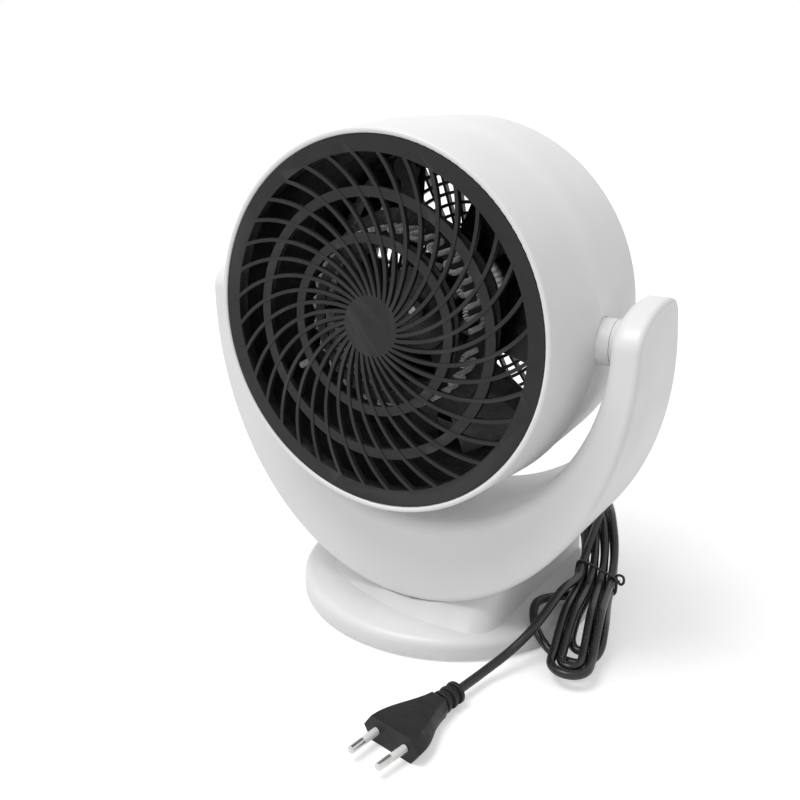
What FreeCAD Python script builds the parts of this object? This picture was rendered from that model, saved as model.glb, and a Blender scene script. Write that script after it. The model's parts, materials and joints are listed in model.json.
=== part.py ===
import FreeCAD
import Part
import math
import os
import re
import Sketcher

# A fan heater whose drum tilts in a yoke on a round base, with its mains lead tied in a hank.
# Millimetres, +Z up, the grille faces -Y, and the origin is on the floor under the base's centre.

V = FreeCAD.Vector
X_AXIS = V(1, 0, 0)
Y_AXIS = V(0, 1, 0)
Z_AXIS = V(0, 0, 1)

DIMENSIONS = {
    # Base: feet, plate, round shell with a low toe in front, and the saddle that holds the yoke
    "foot_height": 1.5,
    "foot_radius": 8,
    "foot_inset": 21,
    "base_radius": 93,
    "base_edge": 13,
    "base_edge_round": 5,
    "base_wall": 2.6,
    "plate_thickness": 2.5,
    "plate_gap": 0.4,
    "ballast_radius": 52,
    "ballast_thickness": 6,
    "saddle_inset": 3,
    "saddle_side": 62,
    "saddle_face": 70,
    "saddle_bow": 161,
    "saddle_bow_side": 25,
    "saddle_lean": 38,
    "saddle_top": 60,
    "saddle_back": 12,
    "saddle_round": 14,
    "saddle_gap": 0.25,
    "deck_height": 36,
    "screw_boss_radius": 4.5,
    "screw_radius": 1.5,
    "screw_head_radius": 3.2,
    "screw_head_height": 1.2,
    "base_screw_inset": 21,
    "base_screw_length": 11,
    "saddle_screw_spread": 32,
    "saddle_screw_seat": 13.5,
    "saddle_screw_length": 24,
    # Yoke: crescent with two arms that carry the head
    "pivot_ahead": 31.5,
    "head_height": 190,
    "pivot_drop": 5,
    "yoke_foot": 19.5,
    "yoke_room": 13.5,
    "arm_thickness": 16.5,
    "yoke_front": 32,
    "yoke_back": 25,
    "yoke_flare": 36,
    "yoke_wall": 3.6,
    "yoke_inner_round": 7,
    "yoke_edge_round": 3,
    "arm_rise": 20,
    "arm_crown": 40,
    "arm_shoulder": 14,
    "cover_thickness": 2.5,
    "cover_gap": 0.2,
    "cover_screw_radius": 138,
    "cover_screw_near": 17,
    "cover_screw_far": 40,
    "cover_screw_length": 12,
    # Pivots
    "trunnion_radius": 12.5,
    "trunnion_gap": 0.3,
    "trunnion_stand": 6.5,
    "trunnion_flange_radius": 17,
    "washer_thickness": 1,
    "pin_radius": 5,
    "pin_gap": 0.05,
    "pin_depth": 8,
    "pin_cover": 4.5,
    "pin_boss_radius": 9,
    # Drum
    "lip_ahead": 59.5,
    "lip_taper": 3.8,
    "lip_width": 2.9,
    "lip_round": 1.2,
    "ledge_width": 3.8,
    "ledge_thickness": 2.5,
    "drum_radius": 107,
    "rear_taper": 2,
    "drum_seam": 52,
    "drum_depth": 117,
    "drum_step": 0.5,
    "drum_corner": 9,
    "drum_wall": 2.4,
    "rear_rim": 21,
    # Front grille
    "grille_gap": 0.3,
    "grille_recess": 0.8,
    "grille_depth": 7,
    "outer_ring_width": 8.9,
    "middle_ring_outside": 73.7,
    "middle_ring_inside": 68.2,
    "inner_ring_outside": 49.5,
    "inner_ring_inside": 44.3,
    "hub_radius": 16.6,
    "rib_count": 36,
    "rib_width": 2,
    "rib_depth": 2.8,
    "ring_depth": 3.2,
    "ring_recess": 0.4,
    "rib_arc": 70.7,
    "rib_centre_side": -8.6,
    # Rear grille
    "rear_grille_overlap": 7,
    "rear_grille_rim": 4,
    "rear_grille_thickness": 3.6,
    "rear_hub_radius": 33,
    "rear_ring_width": 2,
    "rear_ring_count": 6,
    "rear_bar_count": 40,
    "rear_bar_width": 1.8,
    "rear_screw_inset": 3.4,
    "rear_screw_count": 4,
    # Air duct, fan and motor
    "duct_seat": 1.5,
    "duct_wall": 2.2,
    "duct_back": 105,
    "fan_front": 46,
    "fan_depth": 20,
    "fan_clearance": 9.8,
    "fan_hub_radius": 24,
    "fan_wall": 2,
    "blade_count": 7,
    "blade_thickness": 1.6,
    "blade_root_chord": 22,
    "blade_tip_chord": 54,
    "blade_root_pitch": 42,
    "blade_tip_pitch": 20,
    "shaft_radius": 2.5,
    "shaft_gap": 0.03,
    "shaft_front": 42.5,
    "fan_nut_radius": 7,
    "fan_nut_length": 3.5,
    "motor_front": 74,
    "motor_radius": 27,
    "motor_wall": 1.6,
    "bearing_radius": 6,
    "bearing_length": 5,
    "stator_front": 83,
    "stator_length": 18,
    "rotor_radius": 14.8,
    "air_gap": 0.5,
    # Heater
    "heater_inside": 40,
    "heater_outside": 58.5,
    "front_ring_outside": 46,
    "mica_thickness": 1.2,
    "heater_front": 14,
    "heater_rear": 37,
    "post_circle": 42.5,
    "post_radius": 1.6,
    "post_count": 6,
    "coil_circle": 49,
    "coil_radius": 1.5,
    "coil_loops": 24,
    "coil_gap": 0.3,
    "bracket_arm_width": 10,
    "bracket_arm_count": 3,
    "cutout_radius": 7,
    "cutout_height": 4,
    "cutout_inset": 15.8,
    "fuse_radius": 2,
    "fuse_length": 12,
    # Selector on the deck
    "selector_inset": 31,
    "spindle_radius": 3,
    "spindle_gap": 0.05,
    "spindle_length": 20,
    "deck_hole_radius": 4.5,
    "switch_side": 26,
    "switch_height": 14,
    "knob_radius": 15,
    "knob_top_radius": 13.5,
    "knob_height": 13,
    "knob_gap": 0.4,
    "knob_cap": 4,
    "pointer_width": 2.4,
    "pointer_height": 1.2,
    # Cord, hank, tie and plug
    "gland_side": 0,
    "gland_height": 22,
    "gland_radius": 5,
    "gland_flange_radius": 7.5,
    "gland_flange": 2.5,
    "gland_nose_radius": 3.4,
    "gland_nose": 22,
    "gland_inside": 8,
    "cord_diameter": 5,
    "hank_pitch": 5.8,
    "hank_layer": 7.1,
    "hank_climb": 14,
    "hank_step": 10,
    "hank_front_side": 111,
    "hank_front_ahead": 62,
    "hank_yaw": 102.6,
    "hank_length": 160,
    "hank_waist": 76,
    "hank_neck": 108,
    "hank_bend_start": 82,
    "hank_bend_radius": 90,
    "hank_end_width": 14.6,
    "hank_floor_gap": 0.15,
    "hank_raise": 13.6,
    "hank_roll": 0.35,
    "hank_rise_start": 6,
    "hank_rise_end": 42,
    "hank_lift": 22.7,
    "hank_lift_start": 72,
    "hank_lift_end": 122,
    "loose_place": 38,
    "loose_reach": 29,
    "loose_level": 4.5,
    "hank_entry": 18,
    "hank_exit": 12,
    "tie_diameter": 1.6,
    "tie_gap": 0.7,
    "plug_yaw": -99,
    "plug_length": 37,
    "plug_front_width": 35.3,
    "plug_front_flat": 26.1,
    "plug_front_height": 13.7,
    "plug_shoulder": 10,
    "plug_shoulder_width": 33,
    "plug_shoulder_flat": 24.4,
    "plug_shoulder_height": 13.2,
    "plug_waist": 25,
    "plug_waist_width": 19,
    "plug_waist_flat": 14.6,
    "plug_waist_height": 12.2,
    "plug_neck_width": 13,
    "plug_neck_flat": 9.2,
    "plug_neck_height": 11,
    "relief_radius": 6,
    "relief_round": 0.9,
    "relief_groove_radius": 4.2,
    "relief_length": 16,
    "relief_run": 14,
    "relief_rings": 3,
    "prong_radius": 2,
    "prong_base_spread": 18.6,
    "prong_tip_spread": 17.5,
    "prong_length": 19,
    "sleeve_length": 10,
    "sleeve_wall": 0.35,
}

# Sizes that follow from those above.
DERIVED = {
    "foot_circle": "base_radius - foot_inset",
    "base_screw_circle": "base_radius - base_screw_inset",
    "saddle_radius": "base_radius - saddle_inset",
    "selector_back": "saddle_radius - selector_inset",
    "pivot_height": "head_height - pivot_drop",
    "yoke_drop": "head_height - yoke_foot",
    "yoke_inner_radius": "drum_radius + yoke_room",
    "yoke_half_width": "yoke_inner_radius + arm_thickness",
    "trunnion_reach": "drum_radius + trunnion_stand",
    "pin_inner": "drum_radius - pin_depth",
    "pin_outer": "yoke_half_width - pin_cover",
    "lip_radius": "drum_radius - lip_taper",
    "mouth_radius": "lip_radius - lip_width",
    "ledge_radius": "mouth_radius - ledge_width",
    "drum_rear_radius": "drum_radius - rear_taper",
    "rear_opening": "drum_rear_radius - rear_rim",
    "grille_radius": "mouth_radius - grille_gap",
    "outer_ring_inside": "grille_radius - outer_ring_width",
    "rear_grille_flange": "rear_opening + rear_grille_overlap",
    "rear_grille_inside": "rear_opening - rear_grille_rim",
    "rear_screw_circle": "rear_opening + rear_screw_inset",
    "duct_outside": "ledge_radius + duct_seat",
    "duct_inside": "duct_outside - duct_wall",
    "fan_radius": "duct_inside - fan_clearance",
    "cutout_circle": "duct_inside - cutout_inset",
}

# The lead from the gland to the hank, in the air behind the base.
LEAD_TURNS = [
    (0.5, 140, 17),
    (30, 146, 17),
    (47, 113, 27),
]

# The lead from the hank's tie to the plug, past the right of the base.
PLUG_LEAD_TURNS = [
    (87, -20, 31),
    (87, -40, 27.2),
    (84.5, -56, 20.5),
    (78, -69, 12),
    (71.8, -85, 7.4),
]

# The floor point below the middle of the plug's face.
PLUG_FACE = (59.5, -160.8)

doc = FreeCAD.newDocument("fan_heater")
sheet = doc.addObject("Spreadsheet::Sheet", "dims")
derived = doc.addObject("Spreadsheet::Sheet", "derived")
pieces = []


def fill_sheets():
    for row, (alias, value) in enumerate(DIMENSIONS.items(), start=1):
        sheet.set("A%d" % row, alias)
        sheet.set("B%d" % row, str(value))
        sheet.setAlias("B%d" % row, alias)
    doc.recompute()
    for row, (alias, text) in enumerate(DERIVED.items(), start=1):
        derived.set("A%d" % row, alias)
        derived.set("B%d" % row, "=" + formula(text).replace("derived.", ""))
        derived.setAlias("B%d" % row, alias)
        doc.recompute()


def size(alias):
    if alias in DERIVED:
        return float(derived.get(alias))
    return float(sheet.get(alias))


def in_sheet(match):
    name = match.group(0)
    if name in DERIVED:
        return "derived." + name
    if name in DIMENSIONS:
        return "dims." + name
    return name


def formula(text):
    """The text with each size's name pointing at its sheet."""
    return re.sub(r"[a-z][a-z_]+", in_sheet, text)


def bind(thing, name, text):
    thing.setExpression(name, formula(text))


def put(thing, x="0", y="0", z="0"):
    for letter, text in zip("xyz", (x, y, z)):
        bind(thing, "Placement.Base." + letter, text)
    return thing


def keep(thing, label):
    thing.Label = label
    pieces.append(thing)
    return thing


def shaped(label, shape, place=None):
    """A piece whose shape is worked out here from the sheet's values."""
    thing = doc.addObject("Part::Feature", label)
    thing.Shape = shape
    if place is not None:
        thing.Placement = FreeCAD.Placement(place, FreeCAD.Rotation())
    return keep(thing, label)


def rod(name, radius, length, axis="Z"):
    thing = doc.addObject("Part::Cylinder", name)
    bind(thing, "Radius", radius)
    bind(thing, "Height", length)
    if axis == "Y":
        thing.Placement.Rotation = FreeCAD.Rotation(X_AXIS, -90)
    if axis == "X":
        thing.Placement.Rotation = FreeCAD.Rotation(Y_AXIS, 90)
    return thing


def cut(name, base, tool):
    thing = doc.addObject("Part::Cut", name)
    thing.Base = base
    thing.Tool = tool
    return thing


def outline(body, name, plane, corners):
    """A closed sketch of straight edges, each corner tied to the sheet."""
    sketch = body.newObject("Sketcher::SketchObject", name)
    origin = [f for f in body.Origin.OriginFeatures if f.Role == plane][0]
    sketch.AttachmentSupport = (origin, [""])
    sketch.MapMode = "FlatFace"
    starts = [V(10 + 3 * i, 5 + i * i, 0) for i in range(len(corners))]
    for i, start in enumerate(starts):
        sketch.addGeometry(Part.LineSegment(start, starts[(i + 1) % len(starts)]))
    for i in range(len(corners)):
        following = (i + 1) % len(corners)
        sketch.addConstraint(Sketcher.Constraint("Coincident", i, 2, following, 1))
    for i, (across, along) in enumerate(corners):
        for kind, text, value, line in (
            ("DistanceX", across, starts[i].x, -2),
            ("DistanceY", along, starts[i].y, -1),
        ):
            if text == "0":
                sketch.addConstraint(Sketcher.Constraint("PointOnObject", i, 1, line))
            else:
                n = sketch.addConstraint(Sketcher.Constraint(kind, -1, 1, i, 1, value))
                bind(sketch, "Constraints[%d]" % n, text)
    return sketch


def turned(label, corners, axis="Y"):
    """A body turned about the Y or Z axis from corners of (radius, place along the axis)."""
    body = doc.addObject("PartDesign::Body", label)
    plane = {"Y": "XY_Plane", "Z": "XZ_Plane"}[axis]
    profile = outline(body, label + "_profile", plane, corners)
    turn = body.newObject("PartDesign::Revolution", label + "_turn")
    turn.Profile = profile
    turn.ReferenceAxis = (profile, ["V_Axis"])
    turn.Angle = 360
    body.Tip = turn
    doc.recompute()
    return body


def ring_corners(inside, outside, start, end):
    return [(inside, start), (outside, start), (outside, end), (inside, end)]


def round_circles(body, radius, places):
    """Rounds a turned body's circular edges, each given by its (radius, place along Y)."""
    base = body.Tip
    names = []
    for i, edge in enumerate(base.Shape.Edges, start=1):
        at = edge.Vertexes[0].Point
        if any(abs(math.hypot(at.x, at.z) - r) + abs(at.y - y) < 0.01 for r, y in places):
            names.append("Edge%d" % i)
    soft = body.newObject("PartDesign::Fillet", body.Name + "_round")
    soft.Base = (base, names)
    bind(soft, "Radius", radius)
    body.Tip = soft
    doc.recompute()


def in_head(thing):
    """Puts a piece made along the head's axis, measured back from the lip, in its place."""
    return put(thing, "0", "0 - pivot_ahead - lip_ahead", "head_height")


def head_point(x=0.0, depth=0.0, z=0.0):
    ahead = size("pivot_ahead") + size("lip_ahead")
    return V(x, depth - ahead, size("head_height") + z)


def disc(radius, thickness, place=V(0, 0, 0), axis=Z_AXIS):
    return Part.makeCylinder(radius, thickness, place, axis)


def ring(outside, inside, thickness, place=V(0, 0, 0), axis=Z_AXIS):
    return disc(outside, thickness, place, axis).cut(disc(inside, thickness, place, axis))


def block(x0, x1, y0, y1, z0, z1):
    return Part.makeBox(x1 - x0, y1 - y0, z1 - z0, V(x0, y0, z0))


def around(count, start=0.0):
    return [start + 360.0 * i / count for i in range(count)]


def polar(radius, degrees):
    angle = math.radians(degrees)
    return radius * math.cos(angle), radius * math.sin(angle)


# Yoke


def yoke_back_at(z):
    """How far behind the head's centre the yoke's back lies at a height above it."""
    return size("yoke_back") - size("yoke_flare") / size("yoke_drop") * z


def quarter_oval(centre, one, other):
    """A quarter of an oval between the ends of its two half axes."""
    major, minor = (one, other) if one.Length >= other.Length else (other, one)
    oval = Part.Ellipse(centre + major, centre + minor, centre)
    return Part.ArcOfEllipse(oval, 0, math.pi / 2).toShape()


def yoke_side(inset, back_shift, square=False):
    """The yoke seen from the side, as a slab, its arms' rear shoulder round or square."""
    front = inset - size("yoke_front")
    drop = size("yoke_drop") + size("yoke_wall")
    slope = size("yoke_flare") / size("yoke_drop")
    back = size("yoke_back") + back_shift
    rise = size("arm_rise") - inset
    shoulder = 0.0 if square else size("arm_shoulder") - inset
    crown = V(0, size("arm_crown") - size("yoke_front"), rise)
    corner = V(0, back - slope * (rise - shoulder), rise - shoulder)
    bends = [quarter_oval(V(0, crown.y, 0), V(0, front - crown.y, 0), V(0, 0, rise))]
    if square:
        bends.append(Part.LineSegment(crown, corner).toShape())
    else:
        middle = V(0, crown.y, corner.z)
        bends.append(quarter_oval(middle, corner - middle, crown - middle))
    corners = [V(0, front, 0), V(0, front, -drop), V(0, back + slope * drop, -drop), corner]
    edges = [Part.LineSegment(a, b).toShape() for a, b in zip(corners, corners[1:])]
    face = Part.Face(Part.Wire(Part.__sortEdges__(edges + bends)))
    reach = 2 * size("yoke_half_width")
    face.translate(V(-reach, 0, 0))
    return face.extrude(V(2 * reach, 0, 0))


def yoke_front_face(inset, hollow):
    """The yoke seen from the front: an oval below the head's axis, with or without the head's space."""
    half = size("yoke_half_width") - inset
    drop = size("yoke_drop") - inset
    rise = size("arm_rise") + size("yoke_wall")
    inner = size("yoke_inner_radius") + inset
    oval = Part.Ellipse(V(0, 0, -drop), V(half, 0, 0), V(0, 0, 0))
    edges = [Part.ArcOfEllipse(oval, -math.pi / 2, math.pi / 2).toShape()]
    if hollow:
        path = [V(half, 0, 0), V(half, 0, rise), V(inner, 0, rise), V(inner, 0, 0)]
        for side in (1, -1):
            ends = [V(side * p.x, 0, p.z) for p in path]
            edges += [Part.LineSegment(a, b).toShape() for a, b in zip(ends, ends[1:])]
        edges.append(Part.Arc(V(inner, 0, 0), V(0, 0, -inner), V(-inner, 0, 0)).toShape())
    else:
        edges.append(Part.LineSegment(V(half, 0, 0), V(-half, 0, 0)).toShape())
    return Part.Face(Part.Wire(Part.__sortEdges__(edges)))


def crescent(inset, back_shift=0.0, hollow=True, square=False):
    """The yoke about the head's centre, with every wall moved in by the inset."""
    start = inset - size("yoke_front") - size("yoke_wall")
    depth = size("yoke_front") + size("yoke_back") + 2 * size("yoke_flare")
    face = yoke_front_face(inset, hollow)
    face.translate(V(0, start, 0))
    slab = face.extrude(V(0, depth + 2 * size("yoke_wall"), 0))
    return slab.common(yoke_side(inset, back_shift, square))


def on_yoke_wall(point, across, centre_radius):
    """Whether a point about the head's centre lies on the yoke's inner or outer wall."""
    if across == "inner":
        reach = math.hypot(point.x, point.z) if point.z < 0 else abs(point.x)
        return abs(reach - centre_radius) < 0.01
    half, drop = size("yoke_half_width"), size("yoke_drop")
    if point.z >= 0:
        return abs(abs(point.x) - half) < 0.01
    return abs(math.hypot(point.x / half, point.z / drop) - 1) < 0.0005


def front_edges(shape, across):
    """The edges where a wall of the yoke meets its front, and runs on over the arms' ends."""
    found = []
    for edge in shape.Edges:
        first, last = edge.ParameterRange
        points = [edge.valueAt(first + (last - first) * i / 4.0) for i in range(5)]
        walls = all(on_yoke_wall(p, across, size("yoke_inner_radius")) for p in points)
        behind = all(abs(p.y - yoke_back_at(p.z)) < 0.01 for p in points)
        seam = all(abs(p.z) < 0.01 for p in points)
        if walls and not behind and not seam:
            found.append(edge)
    return found


def yoke_outside():
    shape = crescent(0.0, square=True)
    shape = shape.makeFillet(size("yoke_inner_round"), front_edges(shape, "inner"))
    shape = shape.makeFillet(size("yoke_edge_round"), front_edges(shape, "outer"))
    return shape.common(yoke_side(0.0, 0.0)).Solids[0]


def cover_screw_places():
    """Each cover screw's place on the yoke's back, about the head's centre, and the back's normal."""
    slope = size("yoke_flare") / size("yoke_drop")
    out = V(0, 1, slope).normalize()
    places = []
    for tilt in (size("cover_screw_near"), size("cover_screw_far")):
        for side in (-1, 1):
            x, z = polar(size("cover_screw_radius"), -90 + side * tilt)
            places.append(V(x, yoke_back_at(z), z))
    return places, out


def saddle_screw_spots():
    return [V(s * size("saddle_screw_spread"), -size("pivot_ahead"), 0) for s in (-1, 1)]


def make_yoke():
    outside = yoke_outside()
    wall = size("yoke_wall")
    centre = V(0, -size("pivot_ahead"), size("head_height"))
    low = -size("pivot_drop")
    shell = outside.cut(crescent(wall, 2 * wall))
    screw = size("screw_radius")
    places, out = cover_screw_places()
    thickness = size("cover_thickness")
    bosses = []
    bores = []
    for place in places:
        root = place - out * thickness
        bosses.append(disc(size("screw_boss_radius"), 2 * size("yoke_drop"), root, -out))
        bores.append(disc(screw, size("cover_screw_length"), place, -out))
    for spot in saddle_screw_spots():
        foot = V(spot.x, 0, -size("yoke_drop"))
        bosses.append(disc(size("screw_boss_radius"), size("saddle_screw_length"), foot))
        bores.append(disc(screw, size("saddle_screw_length") + screw, foot))
    for side in (-1, 1):
        start = V(side * (size("yoke_inner_radius") + wall / 2), 0, low)
        length = size("yoke_half_width") - size("yoke_inner_radius") - wall
        bosses.append(disc(size("pin_boss_radius"), length, start, X_AXIS * side))
    shell = shell.fuse([b.common(outside) for b in bosses])
    for side in (-1, 1):
        start = size("trunnion_reach") + size("trunnion_gap") + size("washer_thickness")
        length = size("yoke_inner_radius") + wall / 2 - start
        boss = disc(size("trunnion_radius"), length, V(side * start, 0, low), X_AXIS * side)
        shell = shell.fuse(boss)
        reach = size("pin_outer") - start
        bores.append(disc(size("pin_radius"), reach, V(side * start, 0, low), X_AXIS * side))
    shell = shell.cut(bores).removeSplitter()
    shaped("yoke_shell", shell.Solids[0], centre)

    inset = wall + size("cover_gap")
    cover = crescent(inset).cut(crescent(inset / 2, -thickness))
    holes = [disc(screw, 2 * thickness, p + out, -out) for p in places]
    cover = cover.cut(holes)
    shaped("yoke_rear_cover", max(cover.Solids, key=lambda s: s.Volume), centre)

    screws = []
    for place in places:
        head = disc(size("screw_head_radius"), size("screw_head_height"), place, out)
        screws.append(head.fuse(disc(screw, size("cover_screw_length"), place, -out)))
    shaped("yoke_cover_screws", Part.makeCompound(screws), centre)


# Base


def saddle_solid(inset):
    """The raised part of the base behind the toe, before the yoke's seat is cut.

    Its bowed front leans back, and its bow lies to one side of the base's middle.
    """
    radius = size("saddle_radius") - inset
    side = size("saddle_side") - inset
    back = size("saddle_back") - inset
    deck = size("deck_height") - inset
    top = size("saddle_top") - inset
    foot = size("base_edge") - size("base_edge_round")
    slope = size("saddle_lean") / (size("saddle_top") - size("base_edge"))
    bow = size("saddle_bow") - inset
    middle = size("saddle_bow_side")
    centre = size("saddle_bow") - size("saddle_face") - slope * size("base_edge_round")
    front = [V(x, centre - math.sqrt(bow ** 2 - (x - middle) ** 2), foot) for x in (-side, middle, side)]
    outline = [front[2], V(side, back, foot), V(-side, back, foot), front[0]]
    edges = [Part.LineSegment(a, b).toShape() for a, b in zip(outline, outline[1:])]
    face = Part.Face(Part.Wire([Part.Arc(*front).toShape()] + edges))
    leaning = face.extrude(V(0, slope * (top - foot), top - foot))
    corners = [e for e in leaning.Edges if e.BoundBox.ZLength > 1 and e.BoundBox.YMin < 0]
    leaning = leaning.makeFillet(size("saddle_round") - inset, corners)
    low = size("foot_height")
    rear = disc(radius, deck - low, V(0, 0, low)).common(block(-side, side, 0, radius, low, deck))
    return leaning.fuse(rear).cut(block(-radius, radius, back, radius, deck, top)).removeSplitter()


def base_outside():
    low = size("foot_height")
    toe = disc(size("base_radius"), size("base_edge") - low, V(0, 0, low))
    rim = [e for e in toe.Edges if abs(e.CenterOfMass.z - size("base_edge")) < 0.01]
    toe = toe.makeFillet(size("base_edge_round"), rim)
    return toe.fuse(saddle_solid(0.0)).removeSplitter()


def yoke_seat(gap):
    seat = crescent(-gap, gap, hollow=False)
    seat.translate(V(0, -size("pivot_ahead"), size("head_height")))
    return seat


def base_screw_spots():
    return [V(*polar(size("base_screw_circle"), a), 0) for a in around(4, 45)]


def gland_axis():
    x = size("gland_side")
    wall = math.sqrt(size("saddle_radius") ** 2 - x * x)
    return V(x, wall, size("gland_height"))


def selector_axis(z):
    return V(0, size("selector_back"), z)


def make_base():
    outside = base_outside().cut(yoke_seat(size("saddle_gap")))
    wall = size("base_wall")
    low = size("foot_height")
    plate_top = low + size("plate_thickness")
    toe_room = disc(size("base_radius") - wall, size("base_edge") - wall - low, V(0, 0, low))
    room = toe_room.fuse(saddle_solid(wall)).cut(yoke_seat(size("saddle_gap") + wall))
    shell = outside.cut(room)
    boss_radius = size("screw_boss_radius")
    bosses = []
    bores = []
    for spot in base_screw_spots():
        foot = spot + V(0, 0, plate_top)
        bosses.append(disc(boss_radius, size("saddle_top"), foot).common(outside))
        bores.append(disc(size("screw_radius"), size("base_screw_length"), spot + V(0, 0, low)))
    for spot in saddle_screw_spots():
        seat = spot + V(0, 0, size("saddle_screw_seat"))
        bosses.append(disc(boss_radius, size("saddle_top"), seat).common(outside))
        bores.append(disc(size("screw_radius"), size("saddle_top"), seat))
    exit_point = gland_axis() - V(0, size("gland_inside"), 0)
    bores.append(disc(size("gland_radius"), 2 * size("gland_inside"), exit_point, Y_AXIS))
    bores.append(disc(size("deck_hole_radius"), 2 * wall, selector_axis(size("deck_height") - wall)))
    shell = shell.fuse(bosses).cut(bores).removeSplitter()
    shaped("base_shell", max(shell.Solids, key=lambda s: s.Volume))

    plate = disc(size("base_radius") - wall - size("plate_gap"), size("plate_thickness"), V(0, 0, low))
    holes = [disc(size("screw_radius"), plate_top, spot) for spot in base_screw_spots()]
    shaped("base_plate", plate.cut(holes))

    screws = []
    for spot in base_screw_spots():
        under = spot + V(0, 0, low)
        head = disc(size("screw_head_radius"), size("screw_head_height"), under, -Z_AXIS)
        screws.append(head.fuse(disc(size("screw_radius"), size("base_screw_length"), under)))
    shaped("base_screws", Part.makeCompound(screws))

    screws = []
    for spot in saddle_screw_spots():
        seat = spot + V(0, 0, size("saddle_screw_seat"))
        head = disc(size("screw_head_radius"), size("screw_head_height"), seat, -Z_AXIS)
        screws.append(head.fuse(disc(size("screw_radius"), size("saddle_screw_length"), seat)))
    shaped("saddle_screws", Part.makeCompound(screws))

    feet = []
    for angle in around(4):
        x, y = polar(size("foot_circle"), angle)
        feet.append(disc(size("foot_radius"), low, V(x, y, 0)))
    shaped("rubber_feet", Part.makeCompound(feet))

    ballast = rod("ballast", "ballast_radius", "ballast_thickness")
    keep(put(ballast, z="foot_height + plate_thickness"), "ballast_weight")


# Selector


def make_selector():
    deck = size("deck_height") - size("base_wall")
    half = size("switch_side") / 2
    at = selector_axis(0)
    switch = block(-half, half, at.y - half, at.y + half, deck - size("switch_height"), deck)
    bore = size("spindle_radius") + size("spindle_gap")
    switch = switch.cut(disc(bore, size("switch_height") - half / 4, selector_axis(deck), -Z_AXIS))
    shaped("selector_switch", switch)

    knob_foot = "deck_height + knob_gap"
    spindle = rod("spindle", "spindle_radius", "spindle_length")
    start = knob_foot + " + knob_height - knob_cap - spindle_length"
    keep(put(spindle, "0", "selector_back", start), "selector_spindle")

    corners = [
        ("spindle_radius", "0"),
        ("knob_radius", "0"),
        ("knob_top_radius", "knob_height"),
        ("0", "knob_height"),
        ("0", "knob_height - knob_cap"),
        ("spindle_radius", "knob_height - knob_cap"),
    ]
    grip = put(turned("knob_grip", corners, "Z"), "0", "selector_back", knob_foot)
    pointer = doc.addObject("Part::Box", "knob_pointer")
    bind(pointer, "Length", "pointer_width")
    bind(pointer, "Width", "knob_top_radius")
    bind(pointer, "Height", "pointer_height")
    put(pointer, "0 - pointer_width / 2", "selector_back", knob_foot + " + knob_height")
    knob = doc.addObject("Part::Fuse", "knob")
    knob.Base = grip
    knob.Tool = pointer
    keep(knob, "selector_knob")


# Pivots


def make_pivots():
    pivot = V(0, -size("pivot_ahead"), size("pivot_height"))
    inside = drum_inside()
    inside.translate(pivot * -1)
    pins = []
    washers = []
    trunnions = []
    for side in (-1, 1):
        out = X_AXIS * side
        length = size("pin_outer") - size("pin_inner")
        pins.append(disc(size("pin_radius"), length, out * size("pin_inner"), out))
        reach = size("trunnion_reach")
        seat = out * (reach + size("trunnion_gap"))
        thickness = size("washer_thickness")
        washers.append(ring(size("trunnion_radius"), size("pin_radius"), thickness, seat, out))
        flange_start = size("pin_inner")
        stub = disc(size("trunnion_radius"), reach - flange_start, out * flange_start, out)
        wide = size("trunnion_flange_radius")
        flange = disc(wide, size("drum_radius") - flange_start, out * flange_start, out)
        stub = stub.fuse(flange.common(inside)).removeSplitter()
        bore = size("pin_radius") + size("pin_gap")
        trunnions.append(stub.cut(disc(bore, reach, V(0, 0, 0), out)))
    shaped("pivot_pins", Part.makeCompound(pins), pivot)
    shaped("friction_washers", Part.makeCompound(washers), pivot)
    shaped("head_trunnions", Part.makeCompound(trunnions), pivot)


# Drum


def drum_inside():
    """The space inside the drum's walls, between the grille's ledge and the rear corner."""
    wall = size("drum_wall")
    seam = size("drum_seam")
    slope = (size("drum_radius") - size("lip_radius")) / seam
    start = size("grille_recess") + size("grille_depth") + size("ledge_thickness")
    narrow = size("lip_radius") - wall + slope * start
    front = Part.makeCone(narrow, size("drum_radius") - wall, seam - start, V(0, start, 0), Y_AXIS)
    back = size("drum_depth") - wall
    wide = size("drum_radius") - size("drum_step") - wall
    rear = Part.makeCone(wide, size("drum_rear_radius") - wall, back - seam, V(0, seam, 0), Y_AXIS)
    space = front.fuse(rear)
    space.translate(head_point())
    return space


def trunnion_hole(name):
    hole = rod(name, "trunnion_radius + trunnion_gap", "4 * drum_radius", "X")
    return put(hole, "0 - 2 * drum_radius", "0 - pivot_ahead", "pivot_height")


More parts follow.
